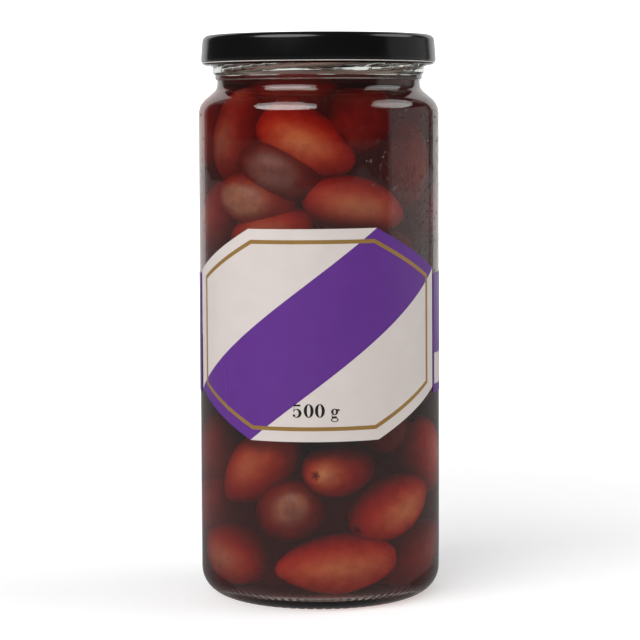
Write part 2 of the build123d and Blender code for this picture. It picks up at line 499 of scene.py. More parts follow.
@dataclass(frozen=True)
class OliveSkin(Finish):
    """Brine-cured olive skin: smooth and waxy, tan to red-brown, mottled, dark where the stalk was."""

    name: str = "brine-cured olive skin"
    stops: tuple[tuple[float, str], ...] = (
        (0.0, "#3a1f22"), (0.3, "#6b3b34"), (0.6, "#965b40"), (0.85, "#ad724a"), (1.0, "#bf8c5a")
    )
    scar: str = "#2c1a16"
    mottle: float = 3.5
    mottle_change: float = 0.08
    speck: float = 0.8
    wrinkle: float = 1.6
    wrinkle_depth: float = 0.12

    def surface(self, tree: bpy.types.NodeTree) -> bpy.types.NodeSocket:
        """Shader of the surface."""
        tone = add_node(tree, "ShaderNodeAttribute", {"attribute_name": "tone"})
        split = add_node(tree, "ShaderNodeSeparateColor", None, {0: tone.outputs["Color"]})
        change = (-self.mottle_change, self.mottle_change)
        patches = spread(tree, noise_in_mm(tree, self.mottle, 3.0), change, (0.3, 0.7))
        ripeness = add_node(tree, "ShaderNodeMath", {"operation": "ADD", "use_clamp": True}, {
            0: split.outputs[0], 1: patches
        })
        ramp = add_node(tree, "ShaderNodeValToRGB", None, {0: ripeness.outputs[0]})
        set_ramp(ramp, list(self.stops))
        specks = spread(tree, noise_in_mm(tree, self.speck, 1.0), (1.0, 0.8), (0.6, 0.75))
        speckled = add_node(tree, "ShaderNodeMix", {"data_type": "RGBA", "blend_type": "MULTIPLY"}, {
            0: 1.0, 6: ramp.outputs[0], 7: specks
        })
        scarred = add_node(tree, "ShaderNodeMix", {"data_type": "RGBA"}, {
            0: split.outputs[2], 6: speckled.outputs[2], 7: linear(self.scar)
        })
        shader = add_node(tree, "ShaderNodeBsdfPrincipled", None, {
            "Base Color": scarred.outputs[2], "Roughness": 0.45, "Specular IOR Level": 0.15,
            "Normal": relief(tree, self.wrinkle, self.wrinkle_depth, 0.3),
        })
        return shader.outputs[0]


@dataclass(frozen=True)
class Dew(Finish):
    """Water that has condensed on the cold glass: clear little domes."""

    name: str = "condensed water"
    ior: float = 1.33

    def surface(self, tree: bpy.types.NodeTree) -> bpy.types.NodeSocket:
        """Shader of the surface."""
        return clear_surface(tree, self.ior, roughness=0.02)


# ---------------------------------------------------------------- the glass and what fills it
@dataclass
class GlassJar:
    """The blown glass: body, shoulder, waist, handling ring, threaded finish and pushed-up base."""

    wall: float = 2.4
    base: float = 4.0
    heel: float = 7.7
    punt_depth: float = 3.0
    punt_radius: float = 17.0
    bearing_width: float = 3.4
    shoulder_drop: float = 19.1
    shoulder_step: float = 5.55
    shoulder_angle: float = 50.0
    shoulder_rounding: float = 6.0
    waist_rounding: float = 3.0
    ring_drop: float = 11.9
    ring_height: float = 1.3
    ring_proud: float = 0.6
    finish_proud: float = 1.25
    finish_blend: float = 0.6
    rim_wall: float = 3.4
    thread_count: int = 4
    thread_proud: float = 1.3
    thread_half: float = 1.15
    thread_pitch: float = 13.0
    thread_sweep: float = 118.0
    thread_drop: float = 9.3
    thread_start: float = -61.0
    thread_taper: float = 9.0
    thread_crown: float = 0.35
    knurl_depth: float = 0.25
    knurl_every: int = 4
    seam_proud: float = 0.06
    waviness: float = 0.035
    wave_angle: float = 23.0
    wave_height: float = 30.0
    thread_row: float = 0.28
    body_row: float = 9.0
    columns: int = 288
    radius: float = field(init=False)
    height: float = field(init=False)

    def __post_init__(self) -> None:
        """Take the radius and the height from the frame."""
        low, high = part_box("jar")
        self.radius = (high.x - low.x) / 2 / MM
        self.height = high.z / MM

    @property
    def inner(self) -> float:
        """Inner radius of the body."""
        return self.radius - self.wall

    @property
    def waist(self) -> float:
        """Outer radius of the waist."""
        return self.radius - self.shoulder_step

    @property
    def finish(self) -> float:
        """Outer radius of the wall that carries the threads."""
        return self.waist + self.finish_proud

    @property
    def bearing(self) -> float:
        """Radius where the pushed-up base meets the bearing edge."""
        return self.radius - self.heel - self.bearing_width

    @property
    def mouth(self) -> float:
        """Radius of the mouth."""
        return self.finish - self.rim_wall

    @property
    def waist_height(self) -> float:
        """Height of the corner between the shoulder's cone and the waist."""
        slope = math.tan(math.radians(self.shoulder_angle))
        return self.height - self.shoulder_drop + self.shoulder_step / slope

    def outside(self) -> list[Corner]:
        """Corners of the outer surface, from the middle of the base to the rim."""
        ring = self.height - self.ring_drop
        ring_radius = self.waist + self.ring_proud
        return [
            (0, self.punt_depth, 0), (self.punt_radius, self.punt_depth, 2), (self.bearing, 0, 2),
            (self.radius, 0, self.heel),
            (self.radius, self.height - self.shoulder_drop, self.shoulder_rounding),
            (self.waist, self.waist_height, self.waist_rounding), (self.waist, ring, 0.3),
            (ring_radius, ring, 0.35), (ring_radius, ring + self.ring_height, 0.35),
            (self.finish, ring + self.ring_height + self.finish_blend, 0.6),
            (self.finish, self.height, 1.2),
        ]

    def cavity(self, grow: float = 0.0) -> list[Corner]:
        """Corners of the inner surface, from the rim down to the middle of the base.

        Args:
            grow: How far the outline is pushed into the glass.

        Returns:
            The corners.
        """
        slope = math.tan(math.radians(self.shoulder_angle))
        neck = self.waist_height - self.wall / 2
        shoulder = neck - (self.inner - self.mouth) / slope
        return [
            (self.mouth + grow, self.height, 1.2), (self.mouth + grow, neck, 5.0),
            (self.inner + grow, shoulder, 3.6),
            (self.inner + grow, self.base - grow, self.heel - self.wall),
            (self.punt_radius + 2 * self.punt_depth, self.base - grow, 2),
            (self.punt_radius, self.base + self.punt_depth - grow, 2),
            (0, self.base + self.punt_depth - grow, 0),
        ]

    def thread_height(self, angle: float, height: float) -> float:
        """How proud the threads stand at a place on the finish, in millimetres.

        Args:
            angle: Degrees from the front towards +X.
            height: Height of the place.

        Returns:
            The height of the thread's ridge there.
        """
        proud = 0.0
        for i in range(self.thread_count):
            along = (angle - self.thread_start - i * 360 / self.thread_count) % 360
            if along > self.thread_sweep:
                continue
            middle = self.height - self.thread_drop + self.thread_pitch * along / 360
            ends = smooth_step(0, self.thread_taper, min(along, self.thread_sweep - along))
            ridge = 1 - smooth_step(self.thread_crown, 1.0, abs(height - middle) / self.thread_half)
            proud = max(proud, self.thread_proud * ends * ridge)
        return proud

    def build(self, glass: bpy.types.Material) -> bpy.types.Object:
        """Make the glass: spin the wall, then raise the threads, seams and knurls on it."""
        points = rounded_outline(self.outside() + self.cavity())
        finish_low = self.height - self.ring_drop + self.ring_height + self.finish_blend
        points = refined(points, finish_low, self.height - 1.3, self.thread_row)
        points = refined(points, self.heel, self.height - self.shoulder_drop, self.body_row)
        bm = turned_mesh(points, self.columns)
        step = 360 / self.columns
        for vert in bm.verts:
            radius = math.hypot(vert.co.x, vert.co.y) / MM
            height = vert.co.z / MM
            if radius < 1:
                continue
            angle = angle_of(vert.co)
            proud = 0.0
            if height > finish_low and radius > self.finish - 0.4:
                proud = self.thread_height(angle, height)
            elif radius > self.waist - 0.1 and height > self.heel:
                on_seam = min(abs(abs(angle) - 90), 90) < step / 2
                wave = noise.noise(Vector((angle / self.wave_angle, height / self.wave_height, 0.7)))
                proud = self.waviness * wave + self.seam_proud * on_seam
            elif height < 0.6 and radius > self.bearing - 0.5:
                column = round(angle / step) % self.knurl_every
                vert.co.z += self.knurl_depth * MM * (column == 0)
            vert.co.xy *= (radius + proud) / radius
        return as_piece("jar_glass", bm, [glass], "jar", sharp_angle=50)


@dataclass
class BrineFill:
    """The brine: it fills the glass up to its surface, which climbs a little at the wall."""

    jar: GlassJar
    into_wall: float = 0.15
    meniscus_rise: float = 0.9
    meniscus_width: float = 2.6
    meniscus_steps: int = 8
    columns: int = 192

    def level(self) -> float:
        """Height of the surface, from the frame."""
        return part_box("brine")[1].z / MM

    def build(self, brine: bpy.types.Material) -> bpy.types.Object:
        """Make the brine as one closed body."""
        level = self.level()
        edge = self.jar.mouth + self.into_wall
        surface = [(0.0, level)]
        for i in range(self.meniscus_steps + 1):
            share = i / self.meniscus_steps
            surface.append((edge - self.meniscus_width * (1 - share), level + self.meniscus_rise * share**3))
        corners = self.jar.cavity(self.into_wall)
        top = (edge, level + self.meniscus_rise, 0)
        below = rounded_outline([top, *corners[1:]])
        bm = turned_mesh(surface + below[1:], self.columns)
        return as_piece("brine_fill", bm, [brine], "brine", sharp_angle=60)


# ---------------------------------------------------------------- the olives
@dataclass
class Olive:
    """One olive: almond-shaped, blunt at the stalk, drawn out at the tip, never quite straight."""

    angle: float
    radius: float
    height: float
    length: float
    width: float
    lean: float = 0.0
    toward: float = 0.0
    ripeness: float = 0.5
    point: float = 0.5
    bend: float = 0.0
    flip: bool = False

    def centre(self) -> np.ndarray:
        """Middle of the olive in millimetres."""
        return np.array(around(self.radius, self.angle, self.height))

    def axis(self) -> np.ndarray:
        """Unit vector from the stalk to the tip.

        The lean turns it up from level, and toward turns it from along the wall to straight at the wall.
        """
        along = around(1, self.angle + 90, 0)
        outward = around(1, self.angle, 0)
        lean, toward = math.radians(self.lean), math.radians(self.toward)
        level = along * math.cos(toward) + outward * math.sin(toward)
        axis = level * math.cos(lean) + Vector((0, 0, math.sin(lean)))
        return np.array(-axis if self.flip else axis)


FRONT_OLIVES = [
    Olive(-5.5, 23.4, 134.2, 29.4, 18.0, lean=-27, ripeness=0.9, point=0.3),
    Olive(-52, 24.4, 135.0, 27.0, 16.5, lean=78, ripeness=0.45, point=0.6),
    Olive(24, 24.4, 116.2, 29.4, 17.0, lean=-14, ripeness=0.72, point=0.5),
    Olive(-25, 24.2, 108.0, 26.0, 17.0, lean=10, ripeness=0.7, point=0.4, flip=True),
    Olive(-20, 15.5, 120.0, 24.0, 14.5, lean=30, toward=-35, ripeness=0.1),
    Olive(33, 20.5, 139.0, 25.0, 16.0, lean=20, toward=-40, ripeness=0.4),
    Olive(-20, 17.0, 147.5, 25.0, 15.0, lean=6, ripeness=0.55),
    Olive(66, 23.8, 127.0, 27.0, 16.0, lean=84, ripeness=0.35),
    Olive(-72, 24.0, 112.0, 26.0, 16.0, lean=60, ripeness=0.5),
    Olive(-36, 23.8, 41.2, 29.0, 17.0, lean=45, ripeness=0.82, point=0.9, flip=True),
    Olive(15.5, 21.2, 40.4, 27.0, 16.6, lean=4, toward=-50, ripeness=0.85),
    Olive(-17, 22.4, 28.2, 26.0, 18.0, lean=20, toward=60, ripeness=0.4),
    Olive(51, 23.9, 28.0, 27.5, 17.6, lean=24, ripeness=0.95, point=0.5),
    Olive(-60, 23.8, 13.6, 27.0, 17.6, lean=-12, toward=10, ripeness=0.62),
    Olive(15.0, 23.6, 13.0, 32.5, 17.6, lean=5, ripeness=0.9, point=0.95, flip=True),
    Olive(73, 23.6, 13.2, 26.0, 16.6, lean=30, toward=20, ripeness=0.45),
    Olive(-79, 24.0, 43.0, 27.0, 16.5, lean=70, ripeness=0.4),
    Olive(-88, 24.2, 25.5, 26.0, 16.4, lean=50, ripeness=0.5),
    Olive(86, 24.2, 42.0, 27.0, 16.2, lean=-60, ripeness=0.98),
]


@dataclass
class OliveBed:
    """All the olives, packed in the jar as they settle: the front ones listed one by one, the rest shaken
    in.
    """

    jar: GlassJar
    level: float
    loose: int = 50
    seed: int = 11
    rounds: int = 400
    clearance: float = 0.25
    ball_place: float = 0.27
    ball_size: float = 0.40
    give: float = 0.42
    sink: float = 0.01
    tip_taper: float = 0.16
    stalk_taper: float = 0.05
    lumps: float = 0.025
    dimple: float = 0.9
    sway: float = 0.8
    scar_points: int = 5
    columns: int = 40
    rings: int = 28

    def shaken(self) -> list[Olive]:
        """Olives at random places and angles, before they are settled."""
        rng = random.Random(self.seed)
        made = []
        for _ in range(self.loose):
            made.append(
                Olive(
                    angle=rng.uniform(-180, 180), radius=24 * math.sqrt(rng.random()),
                    height=rng.uniform(12, self.level - 12), length=rng.gauss(26.3, 1.4),
                    width=rng.gauss(16.4, 0.7), lean=rng.uniform(-70, 70), toward=rng.uniform(-60, 60),
                    ripeness=min(max(rng.gauss(0.5, 0.18), 0.05), 0.95), point=rng.uniform(0.2, 0.9),
                    bend=rng.uniform(-1, 1), flip=rng.random() < 0.5,
                ),
            )
        return made

    def wall_at(self, heights: np.ndarray) -> np.ndarray:
        """Inner radius of the glass at each height."""
        base = self.jar.base + self.jar.punt_depth
        table_z = [base, base + 2.0, base + 5.0, self.jar.waist_height - 9, self.jar.waist_height - 2, 400.0]
        table_r = [self.jar.inner - 3.4, self.jar.inner - 0.8, self.jar.inner, self.jar.inner]
        table_r += [self.jar.mouth, self.jar.mouth]
        return np.interp(heights, table_z, table_r)

    def settled(self) -> list[tuple[Olive, np.ndarray, np.ndarray]]:
        """Push the olives apart and away from the glass until they rest side by side.

        Each olive is three balls in a row. The front ones stay where they are.

        Returns:
            Each olive with its middle and its axis.
        """
        olives = FRONT_OLIVES + self.shaken()
        free = np.arange(len(olives)) >= len(FRONT_OLIVES)
        centres = np.array([o.centre() for o in olives])
        axes = np.array([o.axis() for o in olives])
        reach = np.array([[-self.ball_place, 0.0, self.ball_place]]) * np.array([[o.length] for o in olives])
        balls = np.array([
            [share * o.width for share in (self.ball_size, 0.5, self.ball_size)] for o in olives
        ])
        owner = np.repeat(np.arange(len(olives)), 3)
        radii = balls.ravel()
        apart = owner[:, None] != owner[None, :]
        ceiling = self.level - 2.0
        floor = self.jar.base + self.jar.punt_depth
        for turn in range(self.rounds):
            spots = (centres[:, None] + axes[:, None] * reach[..., None]).reshape(-1, 3)
            between = spots[:, None] - spots[None, :]
            gaps = np.linalg.norm(between, axis=2) + 1e-9
            short = np.clip(radii[:, None] + radii[None, :] + self.clearance - gaps, 0, None) * apart
            push = (between / gaps[..., None] * short[..., None]).sum(1) * self.give
            spots = spots + push
            across = np.linalg.norm(spots[:, :2], axis=1) + 1e-9
            room = self.wall_at(spots[:, 2]) - radii
            spots[:, :2] *= np.minimum(1, room / across)[:, None]
            spots[:, 2] = np.clip(spots[:, 2], floor + radii, ceiling - radii)
            spots[:, 2] -= self.sink if turn < self.rounds // 2 else 0.0
            trios = spots.reshape(-1, 3, 3)
            centres[free] = trios.mean(1)[free]
            lines = trios[:, 2] - trios[:, 0]
            axes[free] = (lines / np.linalg.norm(lines, axis=1)[:, None])[free]
        log.info("olives overlap by %.2f mm at most", float(short[free[owner]].max()))
        return list(zip(olives, centres, axes))

    def shaped(self, olive: Olive, spot: Vector, seed: float) -> Vector:
        """Turn a point of a unit sphere into a point of an olive that lies along Z.

        Args:
            olive: Its sizes.
            spot: The point, with the tip at +Z.
            seed: Which lumps it has.

        Returns:
            The point in millimetres.
        """
        tip = max(spot.z, 0.0)
        stalk = max(-spot.z, 0.0)
        slim = 1 - self.tip_taper * olive.point * tip**2 - self.stalk_taper * stalk**2
        lump = 1 + self.lumps * noise.noise(spot * 1.3 + Vector((seed, 0, 0)))
        across = olive.width / 2 * slim * lump
        along = olive.length / 2 * (spot.z * (0.95 + 0.05 * olive.point) + 0.09 * olive.point * tip**9)
        along += self.dimple * smooth_step(0.975, 1.0, stalk)
        sway = olive.bend * self.sway * (spot.z**2 - 0.3)
        return Vector((spot.x * across + sway, spot.y * across, along))

    def build(self, skin: bpy.types.Material) -> bpy.types.Object:
        """Make every olive as part of one mesh, with its ripeness and stalk scar in the attribute tone."""
        bm = bmesh.new()
        tone = bm.verts.layers.float_color.new("tone")
        rng = random.Random(self.seed + 1)
        for index, (olive, centre, axis) in enumerate(self.settled()):
            made = bmesh.ops.create_uvsphere(
                bm, u_segments=self.columns, v_segments=self.rings, radius=1.0
            )
            roll = Matrix.Rotation(rng.uniform(0, 2 * math.pi), 3, "Z")
            turn = Vector((0, 0, 1)).rotation_difference(Vector(axis)).to_matrix()
            for vert in made["verts"]:
                spot = vert.co.copy()
                spokes = 0.5 + 0.5 * math.cos(self.scar_points * math.atan2(spot.y, spot.x))
                scar = smooth_step(0.993 - 0.008 * spokes, 0.9985, max(-spot.z, 0.0))
                vert[tone] = (olive.ripeness, olive.point, scar, 1.0)
                shaped = self.shaped(olive, spot, index * 7.3)
                vert.co = (turn @ roll @ shaped + Vector(centre)) * MM
        return as_piece("olives", bm, [skin], sharp_angle=180)


# ---------------------------------------------------------------- the lid
@dataclass
class TwistOffLid:
    """The pressed cap: safety button, sunk panel, raised ring, flared skirt, rolled edge and lugs."""

    jar: GlassJar
    metal: float = 0.25
    flare: float = 0.5
    corner: float = 1.9
    panel_clearance: float = 0.5
    panel_drop: float = 1.1
    button_radius: float = 12.0
    button_rise: float = 0.45
    step_slope: float = 0.9
    curl_width: float = 1.9
    curl_height: float = 2.3
    lug_angle: float = 44.0
    lug_width: float = 5.6
    lug_thickness: float = 0.8
    columns: int = 224

    def build(self, lacquer: bpy.types.Material, lining: bpy.types.Material) -> bpy.types.Object:
        """Make the cap and its lugs as one piece, with its inside in the lining."""
        low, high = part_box("lid")
        top, bottom = high.z / MM, low.z / MM
        radius = (high.x - low.x) / 2 / MM
        skirt = radius - self.flare
        ring = self.jar.mouth - self.panel_clearance - self.metal
        panel = ring - self.step_slope
        button = self.button_radius + self.step_slope
        panel_top = top - self.panel_drop
        button_top = panel_top + self.button_rise
        outline = rounded_outline([
            (0, button_top, 0), (self.button_radius, button_top, 0.9), (button, panel_top, 0.9),
            (panel, panel_top, 0.7), (ring, top, 0.8), (skirt, top, self.corner),
            (radius, bottom + self.curl_height, 3.0), (radius, bottom, 1.5),
            (radius - self.curl_width, bottom, 0.4),
            (radius - self.curl_width, bottom + self.curl_height, 0.4),
            (radius - self.metal - 0.05, bottom + self.curl_height, 0.2),
            (skirt - self.metal, top - self.metal, self.corner - self.metal),
            (ring + self.metal, top - self.metal, 0.4),
            (panel + self.metal, panel_top - self.metal, 0.9), (button, panel_top - self.metal, 0.7),
            (self.button_radius, button_top - self.metal, 0.7), (0, button_top - self.metal, 0),
        ])
        bm = turned_mesh(outline, self.columns)
        for face in bm.faces:
            middle = face.calc_center_median()
            inwards = face.normal.xy.dot(middle.xy.normalized()) < -0.3
            inside = inwards or face.normal.z < -0.5
            face.material_index = int(inside and middle.z > (bottom + 0.6) * MM)
        inner = self.jar.finish + 0.35
        outer = radius - self.curl_width / 2
        for i in range(self.jar.thread_count):
            lug = bmesh.ops.create_cube(bm, size=1.0)["verts"]
            edges = list({edge for vert in lug for edge in vert.link_edges})
            size = Matrix.Diagonal((outer - inner, self.lug_width, self.lug_thickness, 1))
            place = Matrix.Translation(((inner + outer) / 2, 0, bottom + self.lug_thickness / 2))
            turn = Matrix.Rotation(math.radians(self.lug_angle - 90 + i * 90), 4, "Z")
            bmesh.ops.transform(bm, matrix=Matrix.Scale(MM, 4) @ turn @ place @ size, verts=lug)
            bmesh.ops.bevel(
                bm, geom=edges, offset=0.25 * MM, segments=3, profile=0.5, affect="EDGES", material=-1
            )
        return as_piece("lid_cap", bm, [lacquer, lining], "lid", sharp_angle=40)

    def build_seal(self, compound: bpy.types.Material) -> bpy.types.Object:
        """Make the soft ring that lies over the glass rim."""
        low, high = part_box("lid_seal")
        outer = (high.x - low.x) / 2 / MM
        inner = self.jar.mouth - self.panel_clearance + 0.4
        bottom, top = low.z / MM, high.z / MM
        outline = rounded_outline([
            ((inner + outer) / 2, bottom, 0), (outer, bottom, 0.3), (outer, top, 0.2),
            (inner, top, 0.2), (inner, bottom, 0.3), ((inner + outer) / 2, bottom, 0),
        ])
        bm = turned_mesh(outline[:-1], 160, closed=True)
        return as_piece("seal_ring", bm, [compound], "lid_seal", sharp_angle=60)


# ---------------------------------------------------------------- the labels
class Print(Enum):
    """The fields of the front label, in the order of its materials."""

    WHITE = 0
    PURPLE = 1
    GOLD = 2


@dataclass
class Label:
    """Paper wrapped on the glass: made flat, cut along its printed lines, then bent round the body."""

    jar: GlassJar
    thickness: float = 0.15
    lift: float = 0.02

    def bend(
        self, bm: bmesh.types.BMesh, middle: float, height: float, out: float, tilt: float = 0.0
    ) -> None:
        """Wrap a flat mesh in X and Y, with Z as its height off the paper, round the glass.

        Args:
            bm: The flat mesh in millimetres.
            middle: Angle of its middle, from the front.
            height: Height of its middle.
            out: Radius of its inner face.
            tilt: Degrees that it is askew.
        """
        askew = Matrix.Rotation(math.radians(tilt), 3, "Z")
        for vert in bm.verts:
            flat = askew @ Vector((vert.co.x, vert.co.y, 0))
            angle = middle + math.degrees(flat.x / self.jar.radius)
            vert.co = around(out + vert.co.z, angle, height + flat.y) * MM

    @staticmethod
    def sheet(width: float, height: float, pitch: float) -> bmesh.types.BMesh:
        """Flat rectangle in millimetres, divided into cells of about a pitch."""
        bm = bmesh.new()
        bmesh.ops.create_grid(
            bm, x_segments=round(width / pitch), y_segments=round(height / pitch), size=0.5
        )
        bmesh.ops.scale(bm, vec=(width, height, 1), verts=bm.verts)
        return bm

    @staticmethod
    def score(bm: bmesh.types.BMesh, start: Point, end: Point, cut: bool = False) -> None:
        """Draw a line across the sheet, and cut off what is left of it if asked.

        Args:
            bm: The sheet.
            start: A point of the line.
            end: Another, further along.
            cut: Whether what lies left of the line goes.
        """
        across = Vector((start[1] - end[1], end[0] - start[0], 0)).normalized()
        bmesh.ops.bisect_plane(
            bm, geom=bm.verts[:] + bm.edges[:] + bm.faces[:], plane_co=(*start, 0), plane_no=across,
            dist=1e-4, clear_outer=cut,
        )

    @staticmethod
    def thicken(bm: bmesh.types.BMesh, depth: float) -> None:
        """Give a flat sheet its depth, with the printed face outside."""
        made = bmesh.ops.extrude_face_region(bm, geom=bm.faces[:])
        raised = [v for v in made["geom"] if isinstance(v, bmesh.types.BMVert)]
        for vert in raised:
            vert.co.z += depth
        bmesh.ops.recalc_face_normals(bm, faces=bm.faces)


@dataclass
class FrontLabel(Label):
    """The eight-sided front label: a purple band across white, a gold line inside the edge, and folds."""

    width: float = 87.5
    height: float = 60.4
    top_edge: float = 38.3
    side_edge: float = 34.7
    line_inset: float = 3.1
    line_inset_side: float = 3.7
    line_width: float = 1.15
    tilt: float = 0.35
    fold_place: float = -28.6
    fold_lean: float = 0.085
    fold_middle: float = -10.4
    fold_height: float = 0.22
    fold_width: float = 0.32
    nicks: tuple[Corner, ...] = ((-8.7, 5, 1), (-0.4, 3, 1), (5.5, 3, 1), (-8.1, 4, -1), (16.3, 4, -1))
    nick_height: float = 0.16
    nick_width: float = 0.45
    pitch: float = 1.1

    def centre_height(self) -> float:
        """Height of the middle, from the frame."""
        low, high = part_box("front_label")
        return (low.z + high.z) / 2 / MM

    def corners(self, inset: float, side_inset: float) -> list[Point]:
        """Corners of the eight-sided line at an inset from the edge, clockwise from the top left.

        Args:
            inset: Distance from the top, bottom and cut edges.
            side_inset: Distance from the upright sides.

        Returns:
            Eight points.
        """
        w, h = self.width / 2, self.height / 2
        t, s = self.top_edge / 2, self.side_edge / 2
        slope = Vector((w - t, h - s)).normalized()
        normal = Vector((slope.y, slope.x))
        offset = normal.dot(Vector((t, h))) - inset
        top, side = h - inset, w - side_inset
        across = (offset - normal.y * top) / normal.x
        up = (offset - normal.x * side) / normal.y
        right = [(across, top), (side, up), (side, -up), (across, -top)]
        left = [(-x, y) for x, y in reversed(right)]
        return right + left

    def inside(self, point: Point, corners: list[Point]) -> bool:
        """Whether a point lies within an eight-sided outline."""
        return not any(left_of(point, a, b) for a, b in sides_of(corners))

    def crease(self, x: float, y: float) -> float:
        """Height of the folds in the paper at a place, in millimetres.

        Each nick has its place across, its depth from the edge, and 1 for the top edge or -1 for the bottom.
        """
        edge = self.height / 2
        fold = self.fold_place - self.fold_lean * (y - self.fold_middle)
        long_fold = math.exp(-(((x - fold) / self.fold_width) ** 2)) * smooth_step(-9.5, -13, y)
        height = self.fold_height * long_fold
        for place, depth, side in self.nicks:
            near = smooth_step(edge - depth, edge, y * side)
            height += self.nick_height * near * math.exp(-(((x - place) / self.nick_width) ** 2))
        return height

    def build(self, papers: list[bpy.types.Material]) -> bpy.types.Object:
        """Make the label with one material for each printed field."""
        bm = self.sheet(self.width, self.height, self.pitch)
        for place in np.arange(-30.2, -26.4, 0.3):
            self.score(bm, (place, -1), (place - self.fold_lean, 0))
        outer = self.corners(0, 0)
        line_out = self.corners(self.line_inset, self.line_inset_side)
        line_in = self.corners(self.line_inset + self.line_width, self.line_inset_side + self.line_width)
        for a, b in sides_of(outer):
            self.score(bm, a, b, cut=True)
        for corners in (line_out, line_in):
            for a, b in sides_of(corners):
                self.score(bm, a, b)
        band = (outer[0], outer[5]), (outer[1], outer[4])
        for a, b in band:
            self.score(bm, a, b)
        for face in bm.faces:
            middle = face.calc_center_median()
            spot = (middle.x, middle.y)
            gold = self.inside(spot, line_out) and not self.inside(spot, line_in)
            purple = left_of(spot, *band[0]) != left_of(spot, *band[1])
            field_of = Print.GOLD if gold else Print.PURPLE if purple else Print.WHITE
            face.material_index = field_of.value
        self.thicken(bm, self.thickness)
        for vert in bm.verts:
            vert.co.z += self.crease(vert.co.x, vert.co.y)
        self.bend(bm, 0, self.centre_height(), self.jar.radius + self.lift, self.tilt)
        return as_piece("label_front", bm, papers, "front_label", sharp_angle=50)


@dataclass
class BackLabel(Label):
    """The plain back label, with the bare white panel near its start."""

    gap_right: float = 1.0
    gap_left: float = 2.4
    front_width: float = 87.5
    panel_low: float = 2.6
    panel_height: float = 9.1
    panel_start: float = 0.9
    panel_width: float = 27.0
    pitch: float = 1.6

    def build(self, papers: list[bpy.types.Material]) -> bpy.types.Object:
        """Make the label, purple with the white panel."""
        low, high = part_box("back_label")
        height = (high.z - low.z) / MM
        width = 2 * math.pi * self.jar.radius - self.front_width - self.gap_right - self.gap_left
        middle = 180 + math.degrees((self.gap_right - self.gap_left) / 2 / self.jar.radius)
        bm = self.sheet(width, height, self.pitch)
        left = -width / 2 + self.panel_start
        right = left + self.panel_width
        bottom = -height / 2 + self.panel_low
        top = bottom + self.panel_height
        for x in (left, right):
            self.score(bm, (x, 0), (x, 1))
        for y in (bottom, top):
            self.score(bm, (0, y), (1, y))
        for face in bm.faces:
            spot = face.calc_center_median()
            bare = left < spot.x < right and bottom < spot.y < top
            face.material_index = int(not bare)
        self.thicken(bm, self.thickness)
        centre = (low.z + high.z) / 2 / MM
        self.bend(bm, middle, centre, self.jar.radius + self.lift)
        return as_piece("label_back", bm, papers, "back_label", sharp_angle=50)


